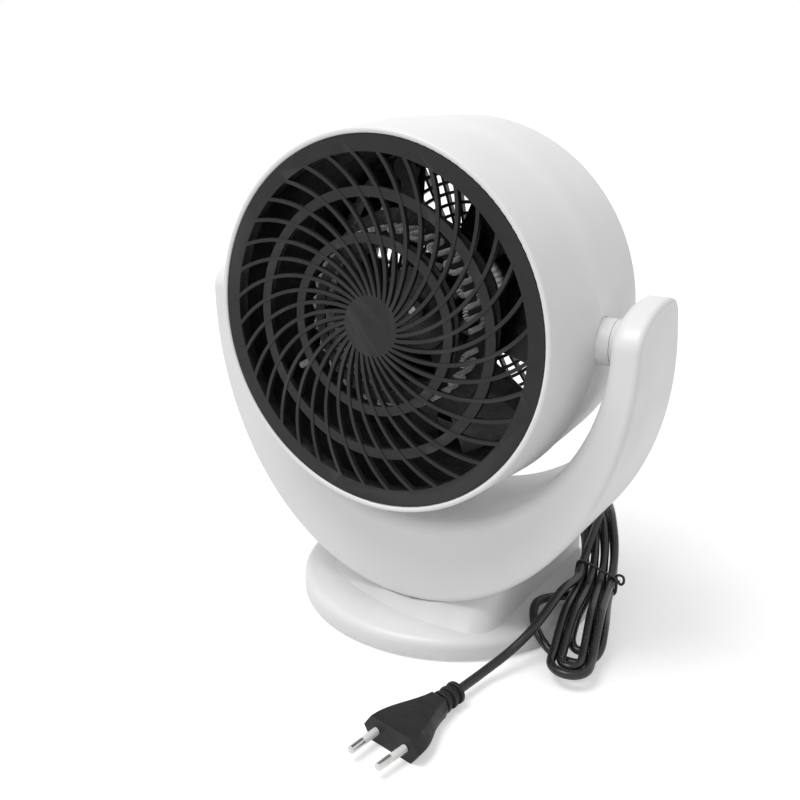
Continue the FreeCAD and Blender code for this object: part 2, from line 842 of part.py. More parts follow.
def make_drum():
    ledge = "grille_recess + grille_depth"
    slope = "(drum_radius - lip_radius) / drum_seam"
    behind = "(%s + ledge_thickness)" % ledge
    corners = [
        ("mouth_radius", "0"),
        ("lip_radius", "0"),
        ("drum_radius", "drum_seam"),
        ("drum_radius - drum_wall", "drum_seam"),
        ("lip_radius - drum_wall + %s * %s" % (slope, behind), behind),
        ("ledge_radius", behind),
        ("ledge_radius", ledge),
        ("mouth_radius", ledge),
    ]
    front = turned("front_drum", corners)
    round_circles(front, "lip_round", [(size("mouth_radius"), 0), (size("lip_radius"), 0)])
    in_head(front)
    keep(cut("front_drum_cut", front, trunnion_hole("front_hole")), "front_housing")

    rear_wall = "drum_depth - drum_wall"
    corners = [
        ("drum_radius - drum_step", "drum_seam"),
        ("drum_rear_radius", "drum_depth"),
        ("rear_opening", "drum_depth"),
        ("rear_opening", rear_wall),
        ("drum_rear_radius - drum_wall", rear_wall),
        ("drum_radius - drum_step - drum_wall", "drum_seam"),
    ]
    rear = turned("rear_drum", corners)
    depth = size("drum_depth")
    wall = size("drum_wall")
    radius = size("drum_rear_radius")
    round_circles(rear, "drum_corner", [(radius, depth)])
    round_circles(rear, "drum_corner - drum_wall", [(radius - wall, depth - wall)])
    in_head(rear)
    drum = cut("rear_drum_cut", rear, trunnion_hole("rear_hole"))
    holes = doc.addObject("Part::Feature", "rear_screw_holes")
    length = size("drum_wall") + size("rear_grille_thickness")
    drilled = [disc(size("screw_radius"), length, p, -Y_AXIS) for p in rear_screws()]
    holes.Shape = Part.makeCompound(drilled)
    keep(cut("rear_housing_cut", drum, holes), "rear_housing")


def make_duct():
    """A dark liner behind the front ledge, which leads the air from the fan to the grille."""
    start = "grille_recess + grille_depth + ledge_thickness"
    corners = ring_corners("duct_inside", "duct_outside", start, "duct_back")
    keep(in_head(turned("duct", corners)), "air_duct")


def rear_screws():
    spots = [polar(size("rear_screw_circle"), a) for a in around(int(size("rear_screw_count")), 45)]
    return [head_point(x, size("drum_depth"), z) for x, z in spots]


# Grilles


def joined(first, others):
    """One solid from pieces that run into each other."""
    whole = first.fuse(others).removeSplitter()
    return max(whole.Solids, key=lambda solid: solid.Volume)


def rib_point(radius, reach):
    """Where a rib's arc of the given radius is at a distance from the grille's centre."""
    cx = size("rib_centre_side")
    cz = math.sqrt(size("rib_arc") ** 2 - (size("hub_radius") - cx) ** 2)
    apart = math.hypot(cx, cz)
    along = (reach ** 2 - radius ** 2 + apart ** 2) / (2 * apart)
    side = math.sqrt(reach ** 2 - along ** 2)
    ux, uz = cx / apart, cz / apart
    return V(along * ux + side * uz, 0, along * uz - side * ux)


def rib_face():
    """One swept rib, an arc from inside the hub to inside the outer ring."""
    half = size("rib_width") / 2
    starts = size("hub_radius") - half
    ends = size("outer_ring_inside") + half
    middle = (starts + ends) / 2
    arcs = []
    for radius in (size("rib_arc") - half, size("rib_arc") + half):
        arcs.append([rib_point(radius, reach) for reach in (starts, middle, ends)])
    edges = [Part.Arc(*points).toShape() for points in arcs]
    edges += [Part.LineSegment(a, b).toShape() for a, b in zip(arcs[0][::2], arcs[1][::2])]
    return Part.Face(Part.Wire(Part.__sortEdges__(edges)))


def make_front_grille():
    origin = V(0, 0, 0)
    outside = size("grille_radius")
    members = [ring(outside, size("outer_ring_inside"), size("grille_depth"), origin, Y_AXIS)]
    behind = V(0, size("ring_recess"), 0)
    for name in ("middle", "inner"):
        outside, inside = size(name + "_ring_outside"), size(name + "_ring_inside")
        members.append(ring(outside, inside, size("ring_depth"), behind, Y_AXIS))
    for angle in around(int(size("rib_count"))):
        rib = rib_face().extrude(V(0, size("rib_depth"), 0))
        rib.rotate(origin, Y_AXIS, -angle)
        members.append(rib)
    hub = disc(size("hub_radius"), size("ring_depth"), origin, Y_AXIS)
    shaped("front_grille", joined(hub, members), head_point(0, size("grille_recess"), 0))


def make_rear_grille():
    inside = size("rear_grille_inside")
    hub = size("rear_hub_radius")
    width = size("rear_ring_width")
    thickness = size("rear_grille_thickness")
    origin = V(0, 0, 0)
    members = [ring(size("rear_grille_flange"), inside, thickness, origin, Y_AXIS)]
    count = int(size("rear_ring_count"))
    for i in range(1, count + 1):
        radius = hub + (inside - hub) * i / (count + 1.0)
        members.append(ring(radius + width / 2, radius - width / 2, thickness, origin, Y_AXIS))
    half = size("rear_bar_width") / 2
    for angle in around(int(size("rear_bar_count"))):
        bar = block(hub - width, inside + width, 0, thickness, -half, half)
        bar.rotate(origin, Y_AXIS, -angle)
        members.append(bar)
    grille = joined(disc(hub, thickness, origin, Y_AXIS), members)
    grille.translate(head_point(0, size("drum_depth") - size("drum_wall") - thickness, 0))
    holes = [disc(size("screw_radius"), 2 * thickness, p, -Y_AXIS) for p in rear_screws()]
    shaped("rear_grille", grille.cut(holes).Solids[0])

    screws = []
    for place in rear_screws():
        shank = size("drum_wall") + thickness
        head = disc(size("screw_head_radius"), size("screw_head_height"), place, Y_AXIS)
        screws.append(head.fuse(disc(size("screw_radius"), shank, place, -Y_AXIS)))
    shaped("rear_grille_screws", Part.makeCompound(screws))


# Fan and motor


def blade_section(radius, chord, pitch):
    """A thin oblong across the blade at one distance from the shaft."""
    angle = math.radians(pitch)
    along = V(0, math.sin(angle), math.cos(angle)) * (chord / 2)
    across = V(0, math.cos(angle), -math.sin(angle)) * (size("blade_thickness") / 2)
    middle = V(radius, size("fan_front") + size("fan_depth") / 2, 0)
    corners = [middle + along + across, middle - along + across]
    corners += [middle - along - across, middle + along - across]
    return Part.makePolygon(corners + corners[:1])


def make_fan():
    front = size("fan_front")
    depth = size("fan_depth")
    hub = size("fan_hub_radius")
    wall = size("fan_wall")
    tip = size("fan_radius")
    cup = disc(hub, depth, V(0, front, 0), Y_AXIS)
    cup = cup.cut(disc(hub - wall, depth, V(0, front + wall, 0), Y_AXIS))
    cup = cup.fuse(disc(size("bearing_radius"), depth - wall, V(0, front, 0), Y_AXIS))
    stages = []
    for share in (0.0, 0.5, 1.0):
        chord = size("blade_root_chord")
        chord += share * (size("blade_tip_chord") - chord)
        pitch = size("blade_root_pitch")
        pitch += share * (size("blade_tip_pitch") - pitch)
        radius = hub - wall / 2 + share * (tip + wall - hub)
        stages.append(blade_section(radius, chord, pitch))
    blade = Part.makeLoft(stages, True, True)
    blade = blade.common(disc(tip, 3 * depth, V(0, front - depth, 0), Y_AXIS))
    blades = []
    for angle in around(int(size("blade_count"))):
        copy = blade.copy()
        copy.rotate(V(0, 0, 0), Y_AXIS, angle)
        blades.append(copy)
    fan = cup.fuse(blades)
    fan = fan.cut(disc(size("shaft_radius"), 3 * depth, V(0, front - depth, 0), Y_AXIS))
    fan = fan.cut(disc(hub - wall, depth, V(0, front + wall, 0), Y_AXIS).cut(
        disc(size("bearing_radius"), depth, V(0, front, 0), Y_AXIS)))
    shaped("fan_impeller", max(fan.Solids, key=lambda s: s.Volume), head_point())

    motor_back = "drum_depth - drum_wall - rear_grille_thickness"
    shaft = rod("shaft", "shaft_radius", motor_back + " - shaft_front - shaft_radius", "Y")
    place = "shaft_front - pivot_ahead - lip_ahead"
    keep(put(shaft, "0", place, "head_height"), "motor_shaft")
    nut_corners = ring_corners("shaft_radius", "fan_nut_radius", "fan_front - fan_nut_length", "fan_front")
    keep(in_head(turned("nut", nut_corners)), "fan_nut")


def make_motor():
    back = "(drum_depth - drum_wall - rear_grille_thickness)"
    inner = "motor_radius - motor_wall"
    corners = [
        ("bearing_radius", "motor_front"),
        ("motor_radius", "motor_front"),
        ("motor_radius", back),
        (inner, back),
        (inner, "motor_front + motor_wall"),
        ("bearing_radius", "motor_front + motor_wall"),
    ]
    keep(in_head(turned("can", corners)), "motor_can")
    corners = ring_corners("bearing_radius", inner, back + " - motor_wall", back)
    keep(in_head(turned("end_cap", corners)), "motor_end_cap")
    bore = "shaft_radius + shaft_gap"
    corners = ring_corners(bore, "bearing_radius", "motor_front", "motor_front + bearing_length")
    keep(in_head(turned("front_bush", corners)), "motor_front_bearing")
    corners = ring_corners(bore, "bearing_radius", back + " - bearing_length", back)
    keep(in_head(turned("rear_bush", corners)), "motor_rear_bearing")
    end = "stator_front + stator_length"
    corners = ring_corners("rotor_radius + air_gap", inner, "stator_front", end)
    keep(in_head(turned("stator", corners)), "motor_stator")
    corners = ring_corners("shaft_radius", "rotor_radius", "stator_front", end)
    keep(in_head(turned("rotor", corners)), "motor_rotor")


# Heater


def coil_path():
    """The heating coil's centre line: runs along the head's axis joined by half turns."""
    runs = 2 * int(size("coil_loops"))
    circle = size("coil_circle")
    spots = [polar(circle, a) for a in around(runs)][:-1]
    turn = circle * math.sin(math.pi / runs)
    margin = size("coil_radius") + size("coil_gap") + turn
    front = size("heater_front") + size("mica_thickness") + margin
    rear = size("heater_rear") - margin
    edges = []
    for i, (x, z) in enumerate(spots):
        start, end = (front, rear) if i % 2 == 0 else (rear, front)
        edges.append(Part.LineSegment(V(x, start, z), V(x, end, z)).toShape())
        if i + 1 < len(spots):
            nx, nz = spots[i + 1]
            bulge = end + turn if end > start else end - turn
            peak = V((x + nx) / 2, bulge, (z + nz) / 2)
            edges.append(Part.Arc(V(x, end, z), peak, V(nx, end, nz)).toShape())
    return Part.Wire(edges)


def make_heater():
    rings = (
        ("heater_mica_front", "front_ring_outside", "heater_front"),
        ("heater_mica_rear", "heater_outside", "heater_rear"),
    )
    for label, outside, place in rings:
        corners = ring_corners("heater_inside", outside, place, place + " + mica_thickness")
        keep(in_head(turned(label + "_ring", corners)), label)

    start = size("heater_front") + size("mica_thickness")
    length = size("heater_rear") - start
    posts = []
    for angle in around(int(size("post_count"))):
        x, z = polar(size("post_circle"), angle)
        posts.append(disc(size("post_radius"), length, V(x, start, z), Y_AXIS))
    shaped("heater_posts", Part.makeCompound(posts), head_point())

    shaped("heater_coil", tube(coil_path(), size("coil_radius"), "heater_coil"), head_point())

    back = size("heater_rear") + size("mica_thickness")
    thickness = size("mica_thickness")
    bracket = disc(size("heater_outside"), thickness, V(0, back, 0), Y_AXIS)
    half = size("bracket_arm_width") / 2
    for angle in around(int(size("bracket_arm_count")), 90):
        arm = block(0, size("duct_outside"), back, back + thickness, -half, half)
        arm.rotate(V(0, 0, 0), Y_AXIS, -angle)
        bracket = bracket.fuse(arm)
    middle = disc(size("heater_inside"), thickness, V(0, back, 0), Y_AXIS)
    bracket = bracket.cut(middle).removeSplitter()
    bracket = bracket.common(disc(size("duct_inside"), thickness, V(0, back, 0), Y_AXIS))
    shaped("heater_bracket", bracket.Solids[0], head_point())

    x, z = polar(size("cutout_circle"), 90)
    cutout = disc(size("cutout_radius"), size("cutout_height"), V(x, back, z), -Y_AXIS)
    shaped("thermal_cutout", cutout, head_point())
    x, z = polar(size("cutout_circle"), 90 + 360 / size("bracket_arm_count"))
    half = size("fuse_length") / 2
    away = V(x, 0, z).normalize()
    fuse_start = V(x, back - size("fuse_radius"), z) - away * half
    fuse = disc(size("fuse_radius"), size("fuse_length"), fuse_start, away)
    shaped("thermal_fuse", fuse, head_point())


# Cord


def tube(path, radius, label):
    """A round tube along a path, with its volume compared with section times length."""
    first = path.OrderedEdges[0]
    start = first.valueAt(first.FirstParameter)
    ahead = first.tangentAt(first.FirstParameter)
    section = Part.Wire(Part.makeCircle(radius, start, ahead))
    solid = path.makePipeShell([section], True, False)
    ratio = solid.Volume / (math.pi * radius ** 2 * path.Length)
    print("%s: length %.0f mm, volume over section times length %.4f" % (label, path.Length, ratio))
    return solid


def rounded_path(points, label):
    """Straight runs joined by arcs as large as the runs allow."""
    edges = []
    radii = []
    start = points[0]
    for before, corner, after in zip(points, points[1:], points[2:]):
        back = before - corner
        on = after - corner
        reach = 0.45 * min(back.Length, on.Length)
        turn = math.pi - back.getAngle(on)
        back.normalize()
        on.normalize()
        radius = reach / math.tan(turn / 2)
        inward = (back + on).normalize()
        nearest = radius / math.cos(turn / 2) - radius
        entry, leave = corner + back * reach, corner + on * reach
        edges.append(Part.LineSegment(start, entry).toShape())
        edges.append(Part.Arc(entry, corner + inward * nearest, leave).toShape())
        radii.append(radius)
        start = leave
    edges.append(Part.LineSegment(start, points[-1]).toShape())
    print("%s radii: %s" % (label, ", ".join("%.0f" % r for r in radii)))
    return Part.Wire(edges)


def arc_from(start, ahead, end):
    """The arc that leaves a point in a direction and reaches another point."""
    chord = end - start
    along = V(chord).normalize()
    bend = ahead.getAngle(along)
    if bend < 0.001:
        return Part.LineSegment(start, end).toShape()
    side = (ahead - along * ahead.dot(along)).normalize()
    peak = start + chord * 0.5 + side * (chord.Length / 2 * math.tan(bend / 2))
    return Part.Arc(start, peak, end).toShape()


def biarc(start, leaving, end, arriving):
    """Two arcs that join two points and their directions smoothly."""
    chord = end - start
    total = leaving + arriving
    spread = 2 * (1 - leaving.dot(arriving))
    if spread < 0.0001:
        reach = chord.dot(chord) / (4 * chord.dot(arriving))
    else:
        middle = chord.dot(total)
        reach = (math.sqrt(middle ** 2 + spread * chord.dot(chord)) - middle) / spread
    joint = (start + leaving * reach + end - arriving * reach) * 0.5
    first = arc_from(start, leaving, joint)
    second = arc_from(joint, first.tangentAt(first.LastParameter), end)
    return [first, second]


def eased(start, end, place):
    share = min(max((place - start) / (end - start), 0.0), 1.0)
    return share * share * (3 - 2 * share)


def hank_place(along, side, level):
    """A point of the hank: along its axis, to the right of it, and up from its lowest layer.

    The hank rises from the floor over the edge of the base, its left side higher than its right,
    and bends to the left behind the yoke, where it lies on the deck.
    """
    back = V(*polar(1, size("hank_yaw")), 0)
    right = V(back.y, -back.x, 0)
    front = V(size("hank_front_side"), -size("hank_front_ahead"), 0)
    radius = size("hank_bend_radius")
    straight = min(along, size("hank_bend_start"))
    turn = (along - straight) / radius
    spoke = right * math.cos(turn) + back * math.sin(turn)
    rise = eased(size("hank_rise_start"), size("hank_rise_end"), along)
    floor = size("cord_diameter") / 2 + size("hank_floor_gap")
    lean = size("hank_roll") * max(side, -size("hank_end_width"))
    height = floor + level + rise * (size("hank_raise") - lean)
    height += size("hank_lift") * eased(size("hank_lift_start"), size("hank_lift_end"), along)
    return front + back * straight - right * radius + spoke * (radius + side) + V(0, 0, height)


def hank_stops():
    """The hank's loops, as stops of (along, side, level, heading along, heading to the right)."""
    pitch = size("hank_pitch")
    layer = size("hank_layer")
    end = size("hank_end_width")
    waist, neck = size("hank_waist"), size("hank_neck")
    turn = size("hank_length") - end
    near, far = pitch / 2, 1.5 * pitch
    inner = end - pitch
    # Each loop's place at the waist, sides and turn at the rear, layer, and turn at the front
    loops = [
        (far, end, end, 13.5, 0, 13, -7.6, 20.4),
        (near, inner, inner, 6, 0, 27, -1.5, 11.7),
        (near, inner - pitch, inner, 14.5, layer, 2, -8, 8),
        (far, end, end, 20, layer, -8, -13.6, 13.8),
    ]
    ends = [loop[1] for loop in loops[1:]] + [end + pitch]
    stops = [(turn + end / 4, end + pitch, 0, -1, 0)]
    below = 0
    for loop, rear_next in zip(loops, ends):
        slot, rear_right, rear_left, rear, level, tip, left, right = loop
        fold = (right - left) / 2
        stops.append((turn, rear_right, below, -1, 0))
        if level > below:
            stops.append((turn - size("hank_climb"), rear_right, level, -1, 0))
        stops.append((neck, slot, level, -1, 0))
        stops.append((waist, slot, level, -1, 0))
        stops.append((tip + fold, right, level, -1, 0))
        stops.append((tip, (left + right) / 2, level, 0, -1))
        if loop is loops[-1]:
            stops.append((size("loose_place"), -size("loose_reach"), size("loose_level"), 1, 0))
        else:
            stops.append((tip + fold, left, level, 1, 0))
        stops.append((waist, -slot, level, 1, 0))
        stops.append((neck, -slot, level, 1, 0))
        stops.append((turn, -rear_left, level, 1, 0))
        stops.append((turn + rear, (rear_next - rear_left) / 2, level, 0, 1))
        below = level
    stops.append((turn, ends[-1], below, -1, 0))
    stops.append((turn - size("hank_climb"), ends[-1], 2 * layer, -1, 0))
    stops.append((waist, -far, 2 * layer, -1, 0))
    return stops


def between_stops(first, last, share):
    """A point of the hank between two stops, leaving and arriving along their headings."""
    pull = 1.15 * math.hypot(last[0] - first[0], last[1] - first[1])
    square, cube = share ** 2, share ** 3
    mixed = []
    for i in (0, 1):
        value = first[i] * (2 * cube - 3 * square + 1) + last[i] * (3 * square - 2 * cube)
        value += first[i + 3] * pull * (cube - 2 * square + share)
        value += last[i + 3] * pull * (cube - square)
        mixed.append(value)
    level = first[2] + (last[2] - first[2]) * eased(0, 1, share)
    return hank_place(mixed[0], mixed[1], level)


def hank_path():
    """The hank's centre line, with each end's point and heading."""
    stops = hank_stops()
    placed = []
    for first, last in zip(stops, stops[1:]):
        count = max(2, round(math.dist(first[:2], last[:2]) / size("hank_step")))
        shares = [i / count for i in range(count)]
        if last is stops[-1]:
            shares.append(1.0)
        for share in shares:
            near = between_stops(first, last, share - 0.001)
            heading = (between_stops(first, last, share + 0.001) - near).normalize()
            placed.append((between_stops(first, last, share), heading))
    edges = []
    for (a, leaving), (b, arriving) in zip(placed, placed[1:]):
        edges += biarc(a, leaving, b, arriving)
    straight = size("cord_diameter")
    (start, leaving), (end, arriving) = placed[0], placed[-1]
    before = start - leaving * straight
    after = end + arriving * straight
    edges.insert(0, Part.LineSegment(before, start).toShape())
    edges.append(Part.LineSegment(end, after).toShape())
    return Part.Wire(edges), (before, leaving), (after, arriving)


def least_gap(path, diameter):
    """The least space between stretches of a tube that are well apart along it."""
    points = path.discretize(Distance=diameter / 3)
    step = path.Length / (len(points) - 1)
    skip = int(4 * diameter / step)
    gap = min(
        points[i].distanceToPoint(points[j])
        for i in range(len(points))
        for j in range(i + skip, len(points))
    )
    return gap - diameter


def plug_ahead():
    x, y = polar(1, size("plug_yaw"))
    return V(x, y, 0)


def plug_face():
    return V(PLUG_FACE[0], PLUG_FACE[1], size("plug_front_height") / 2)


def relief_end():
    return plug_face() - plug_ahead() * (size("plug_length") + size("relief_length"))


def gland_end():
    return gland_axis() + V(0, size("gland_flange") + size("gland_nose"), 0)


def make_cord():
    radius = size("cord_diameter") / 2
    path, before, after = hank_path()
    print("hank: least gap to itself %.2f mm" % least_gap(path, 2 * radius))
    shaped("cord_hank", tube(path, radius, "cord_hank"))

    start, leaving = before
    lead = [gland_end()] + [V(*p) for p in LEAD_TURNS] + [start - leaving * size("hank_entry"), start]
    shaped("cord_lead", tube(rounded_path(lead, "cord_lead"), radius, "cord_lead"))

    end, arriving = after
    out = plug_ahead()
    lead = [end, end + arriving * size("hank_exit")] + [V(*p) for p in PLUG_LEAD_TURNS]
    lead += [relief_end() - out * size("relief_run"), relief_end()]
    shaped("plug_lead", tube(rounded_path(lead, "plug_lead"), radius, "plug_lead"))

    make_gland()
    make_tie()


def make_gland():
    wall = "sqrt(saddle_radius * saddle_radius - gland_side * gland_side)"
    corners = [
        ("0", "0"),
        ("gland_radius", "0"),
        ("gland_radius", "gland_inside"),
        ("gland_flange_radius", "gland_inside"),
        ("gland_flange_radius", "gland_inside + gland_flange"),
        ("gland_radius", "gland_inside + gland_flange"),
        ("gland_nose_radius", "gland_inside + gland_flange + gland_nose"),
        ("0", "gland_inside + gland_flange + gland_nose"),
    ]
    gland = turned("gland", corners)
    put(gland, "gland_side", wall + " - gland_inside", "gland_height")
    keep(gland, "cord_gland")


def make_tie():
    """A wire tie round the hank's waist, as one closed loop."""
    wire = size("tie_diameter") / 2
    room = size("cord_diameter") / 2 + size("tie_gap") + wire
    pitch = size("hank_pitch")
    far = 1.5 * pitch
    wide = far + room
    shoulder = size("hank_layer") + room
    top = 2 * size("hank_layer") + room
    turns = [(wide, -room), (wide, shoulder), (room - far, top), (-wide, top), (-wide, -room)]
    corners = [hank_place(size("hank_waist"), side, level) for side, level in turns]
    middle = (corners[0] + corners[1]) * 0.5
    loop = Part.makePolygon([middle] + corners[1:] + corners[:1] + [middle])
    section = Part.Wire(Part.makeCircle(wire, middle, corners[1] - corners[0]))
    shell = Part.BRepOffsetAPI.MakePipeShell(loop)
    shell.setTransitionMode(2)
    shell.add(section)
    shell.build()
    shell.makeSolid()
    shaped("cord_tie", shell.shape())


# Plug


def plug_section(back, name):
    """Six sides across the plug at a distance behind its face: flat above and below, with side ridges."""
    ahead = plug_ahead()
    side = ahead.cross(Z_AXIS)
    middle = plug_face() - ahead * back
    ridge = size(name + "_width") / 2
    flat = size(name + "_flat") / 2
    rise = size(name + "_height") / 2
    corners = [(ridge, 0), (flat, rise), (-flat, rise), (-ridge, 0), (-flat, -rise), (flat, -rise)]
    points = [middle + side * across + Z_AXIS * up for across, up in corners]
    return Part.makePolygon(points + points[:1])


def make_plug():
    ahead = plug_ahead()
    side = ahead.cross(Z_AXIS)
    face = plug_face()
    length = size("plug_length")
    sections = [
        plug_section(0, "plug_front"),
        plug_section(size("plug_shoulder"), "plug_shoulder"),
        plug_section(size("plug_waist"), "plug_waist"),
        plug_section(length, "plug_neck"),
    ]
    body = Part.makeLoft(sections, True)
    prong = size("prong_radius")
    prongs = []
    sleeves = []
    holes = []
    for hand in (-1, 1):
        base = face + side * (hand * size("prong_base_spread") / 2)
        tip = face + side * (hand * size("prong_tip_spread") / 2) + ahead * size("prong_length")
        along = V(tip - base).normalize()
        start = base - along * size("sleeve_length")
        reach = size("sleeve_length") + size("prong_length")
        pin = disc(prong, reach, start, along)
        end_rim = [e for e in pin.Edges if (e.CenterOfMass - tip).Length < prong / 2]
        pin = pin.makeChamfer(prong / 3, end_rim)
        groove = ring(2 * prong, prong - size("sleeve_wall"), size("sleeve_length"), base, along)
        prongs.append(pin.cut(groove))
        holes.append(disc(prong, size("sleeve_length"), base, -along))
        sleeve = ring(prong, prong - size("sleeve_wall"), size("sleeve_length"), base, along)
        sleeves.append(sleeve.cut(body))
    shaped("plug_body", body.cut(holes).Solids[0])
    shaped("plug_prongs", Part.makeCompound(prongs))
    shaped("plug_sleeves", Part.makeCompound(sleeves))

    neck = face - ahead * length
    rings = int(size("relief_rings"))
    step = size("relief_length") / (2 * rings)
    relief = disc(size("relief_groove_radius"), size("relief_length"), neck, -ahead)
    for i in range(rings):
        start = neck - ahead * (step * (2 * i + 0.5))
        bead = disc(size("relief_radius"), step, start, -ahead)
        rims = [e for e in bead.Edges if e.Closed]
        relief = relief.fuse(bead.makeFillet(size("relief_round"), rims))
    shaped("plug_relief", relief.removeSplitter())


def check_and_write():
    doc.recompute()
    for thing in doc.Objects:
        if "Invalid" in thing.State or "Error" in thing.State:
            raise RuntimeError("%s failed: %s" % (thing.Label, thing.State))
    for piece in pieces:
        if piece.Shape.isNull() or not piece.Shape.isValid() or piece.Shape.Volume <= 0:
            raise RuntimeError("%s has no sound shape" % piece.Label)
    os.makedirs("parts", exist_ok=True)
    for piece in pieces:
        piece.Shape.exportStep("parts/%s.step" % piece.Label)
        print("%-22s %d solids %10.0f mm3" % (piece.Label, len(piece.Shape.Solids), piece.Shape.Volume))


fill_sheets()
make_base()
make_yoke()
make_pivots()
make_selector()
make_drum()
make_duct()
make_front_grille()
make_rear_grille()
make_fan()
make_motor()
make_heater()
make_cord()
make_plug()
check_and_write()
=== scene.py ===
import json
import math
from collections import namedtuple

import bpy
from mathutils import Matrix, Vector


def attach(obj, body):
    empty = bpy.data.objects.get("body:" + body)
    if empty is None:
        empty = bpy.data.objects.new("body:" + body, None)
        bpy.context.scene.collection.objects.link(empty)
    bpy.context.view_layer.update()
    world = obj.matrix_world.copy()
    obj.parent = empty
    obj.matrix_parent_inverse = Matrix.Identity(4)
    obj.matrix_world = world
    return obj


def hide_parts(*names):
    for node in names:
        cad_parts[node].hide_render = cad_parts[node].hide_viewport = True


# The fan heater dressed for a picture: camera, cord, finishes, small mesh pieces, floor and light.
# Lengths are metres in the part's frame; the cord's route is in millimetres, as the part gives it.

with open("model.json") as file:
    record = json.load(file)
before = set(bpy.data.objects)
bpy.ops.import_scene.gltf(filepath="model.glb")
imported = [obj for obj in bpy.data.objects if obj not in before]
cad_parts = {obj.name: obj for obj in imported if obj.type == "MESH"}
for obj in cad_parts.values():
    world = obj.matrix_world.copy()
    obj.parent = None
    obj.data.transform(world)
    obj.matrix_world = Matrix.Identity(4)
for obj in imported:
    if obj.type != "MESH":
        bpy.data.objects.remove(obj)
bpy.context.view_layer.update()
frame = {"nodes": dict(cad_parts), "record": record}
nodes = frame["nodes"]

MM = 0.001
HEAD_CENTRE = Vector((0, -31.5, 190)) * MM
LIP_AHEAD = 59.5 * MM
HEAD_FRONT = HEAD_CENTRE - Vector((0, LIP_AHEAD, 0))


# Camera

CAMERA_PLACE = (0.28305, -0.50440, 0.32301)
CAMERA_TILT = 74.94
CAMERA_HEADING = 33.75
CAMERA_LENS = 44.31
SENSOR_WIDTH = 36
CAMERA_SHIFT = (0.025, -0.0875)


def add_camera():
    data = bpy.data.cameras.new("camera")
    data.lens = CAMERA_LENS
    data.sensor_width = SENSOR_WIDTH
    data.shift_x, data.shift_y = CAMERA_SHIFT
    camera = bpy.data.objects.new("camera", data)
    camera.location = CAMERA_PLACE
    camera.rotation_euler = (math.radians(CAMERA_TILT), 0, math.radians(CAMERA_HEADING))
    bpy.context.scene.collection.objects.link(camera)
    bpy.context.scene.camera = camera


# Material helpers


class Finish:
    """A procedural material under construction, with short names for the nodes that it uses."""

    def __init__(self, name):
        self.material = bpy.data.materials.new(name)
        self.material.use_nodes = True
        self.tree = self.material.node_tree
        self.shader = self.tree.nodes["Principled BSDF"]
        self.place = self.add("ShaderNodeTexCoord").outputs["Object"]

    def add(self, kind):
        return self.tree.nodes.new(kind)

    def link(self, output, target):
        self.tree.links.new(output, target)

    def set(self, **values):
        for name, value in values.items():
            self.shader.inputs[name.replace("_", " ")].default_value = value

    def noise(self, size, detail=2.0, stretch=None):
        """Soft noise whose features are about the given size in metres."""
        node = self.add("ShaderNodeTexNoise")
        node.inputs["Scale"].default_value = 1 / size
        node.inputs["Detail"].default_value = detail
        self.link(self.stretched(stretch) if stretch else self.place, node.inputs["Vector"])
        return node.outputs["Fac"]

    def stretched(self, factors):
        node = self.add("ShaderNodeMapping")
        node.inputs["Scale"].default_value = factors
        self.link(self.place, node.inputs["Vector"])
        return node.outputs["Vector"]

    def cells(self, size):
        node = self.add("ShaderNodeTexVoronoi")
        node.inputs["Scale"].default_value = 1 / size
        self.link(self.place, node.inputs["Vector"])
        return node.outputs["Distance"]

    def between(self, source, low, high, start=0.3, end=0.7):
        """The source's range from start to end, spread from low to high."""
        node = self.add("ShaderNodeMapRange")
        for name, value in (("From Min", start), ("From Max", end), ("To Min", low), ("To Max", high)):
            node.inputs[name].default_value = value
        self.link(source, node.inputs["Value"])
        return node.outputs["Result"]

    def blend(self, factor, first, second):
        node = self.add("ShaderNodeMix")
        node.data_type = "RGBA"
        for socket, value in ((node.inputs[6], first), (node.inputs[7], second)):
            if isinstance(value, tuple):
                socket.default_value = value + (1.0,)
            else:
                self.link(value, socket)
        self.link(factor, node.inputs[0])
        return node.outputs[2]

    def edges(self, start, end):
        """How far a point lies on a worn outer edge, from 0 to 1."""
        sharp = self.add("ShaderNodeNewGeometry").outputs["Pointiness"]
        return self.between(sharp, 0.0, 1.0, start, end)

    def colour(self, output):
        self.link(output, self.shader.inputs["Base Color"])

    def roughness(self, output):
        self.link(output, self.shader.inputs["Roughness"])

    def bump(self, layers):
        """Stacked bumps of (height, depth in metres), the coarsest first."""
        normal = None
        for height, depth in layers:
            node = self.add("ShaderNodeBump")
            node.inputs["Distance"].default_value = depth
            self.link(height, node.inputs["Height"])
            if normal is not None:
                self.link(normal, node.inputs["Normal"])
            normal = node.outputs["Normal"]
        self.link(normal, self.shader.inputs["Normal"])


# Finishes


def white_plastic():
    """Satin white moulding: faint flow marks, a fine grain and very slightly cleaner edges."""
    finish = Finish("white_plastic")
    flow = finish.noise(0.06, 3.0)
    tone = finish.blend(finish.between(flow, 0, 1), (0.80, 0.80, 0.805), (0.84, 0.84, 0.84))
    finish.colour(finish.blend(finish.edges(0.52, 0.60), tone, (0.86, 0.86, 0.86)))
    finish.roughness(finish.between(finish.noise(0.02, 4.0), 0.34, 0.44))
    finish.bump([(finish.noise(0.012, 2.0), 0.00004), (finish.noise(0.0005, 2.0), 0.000012)])
    finish.set(IOR=1.5)
    return finish.material


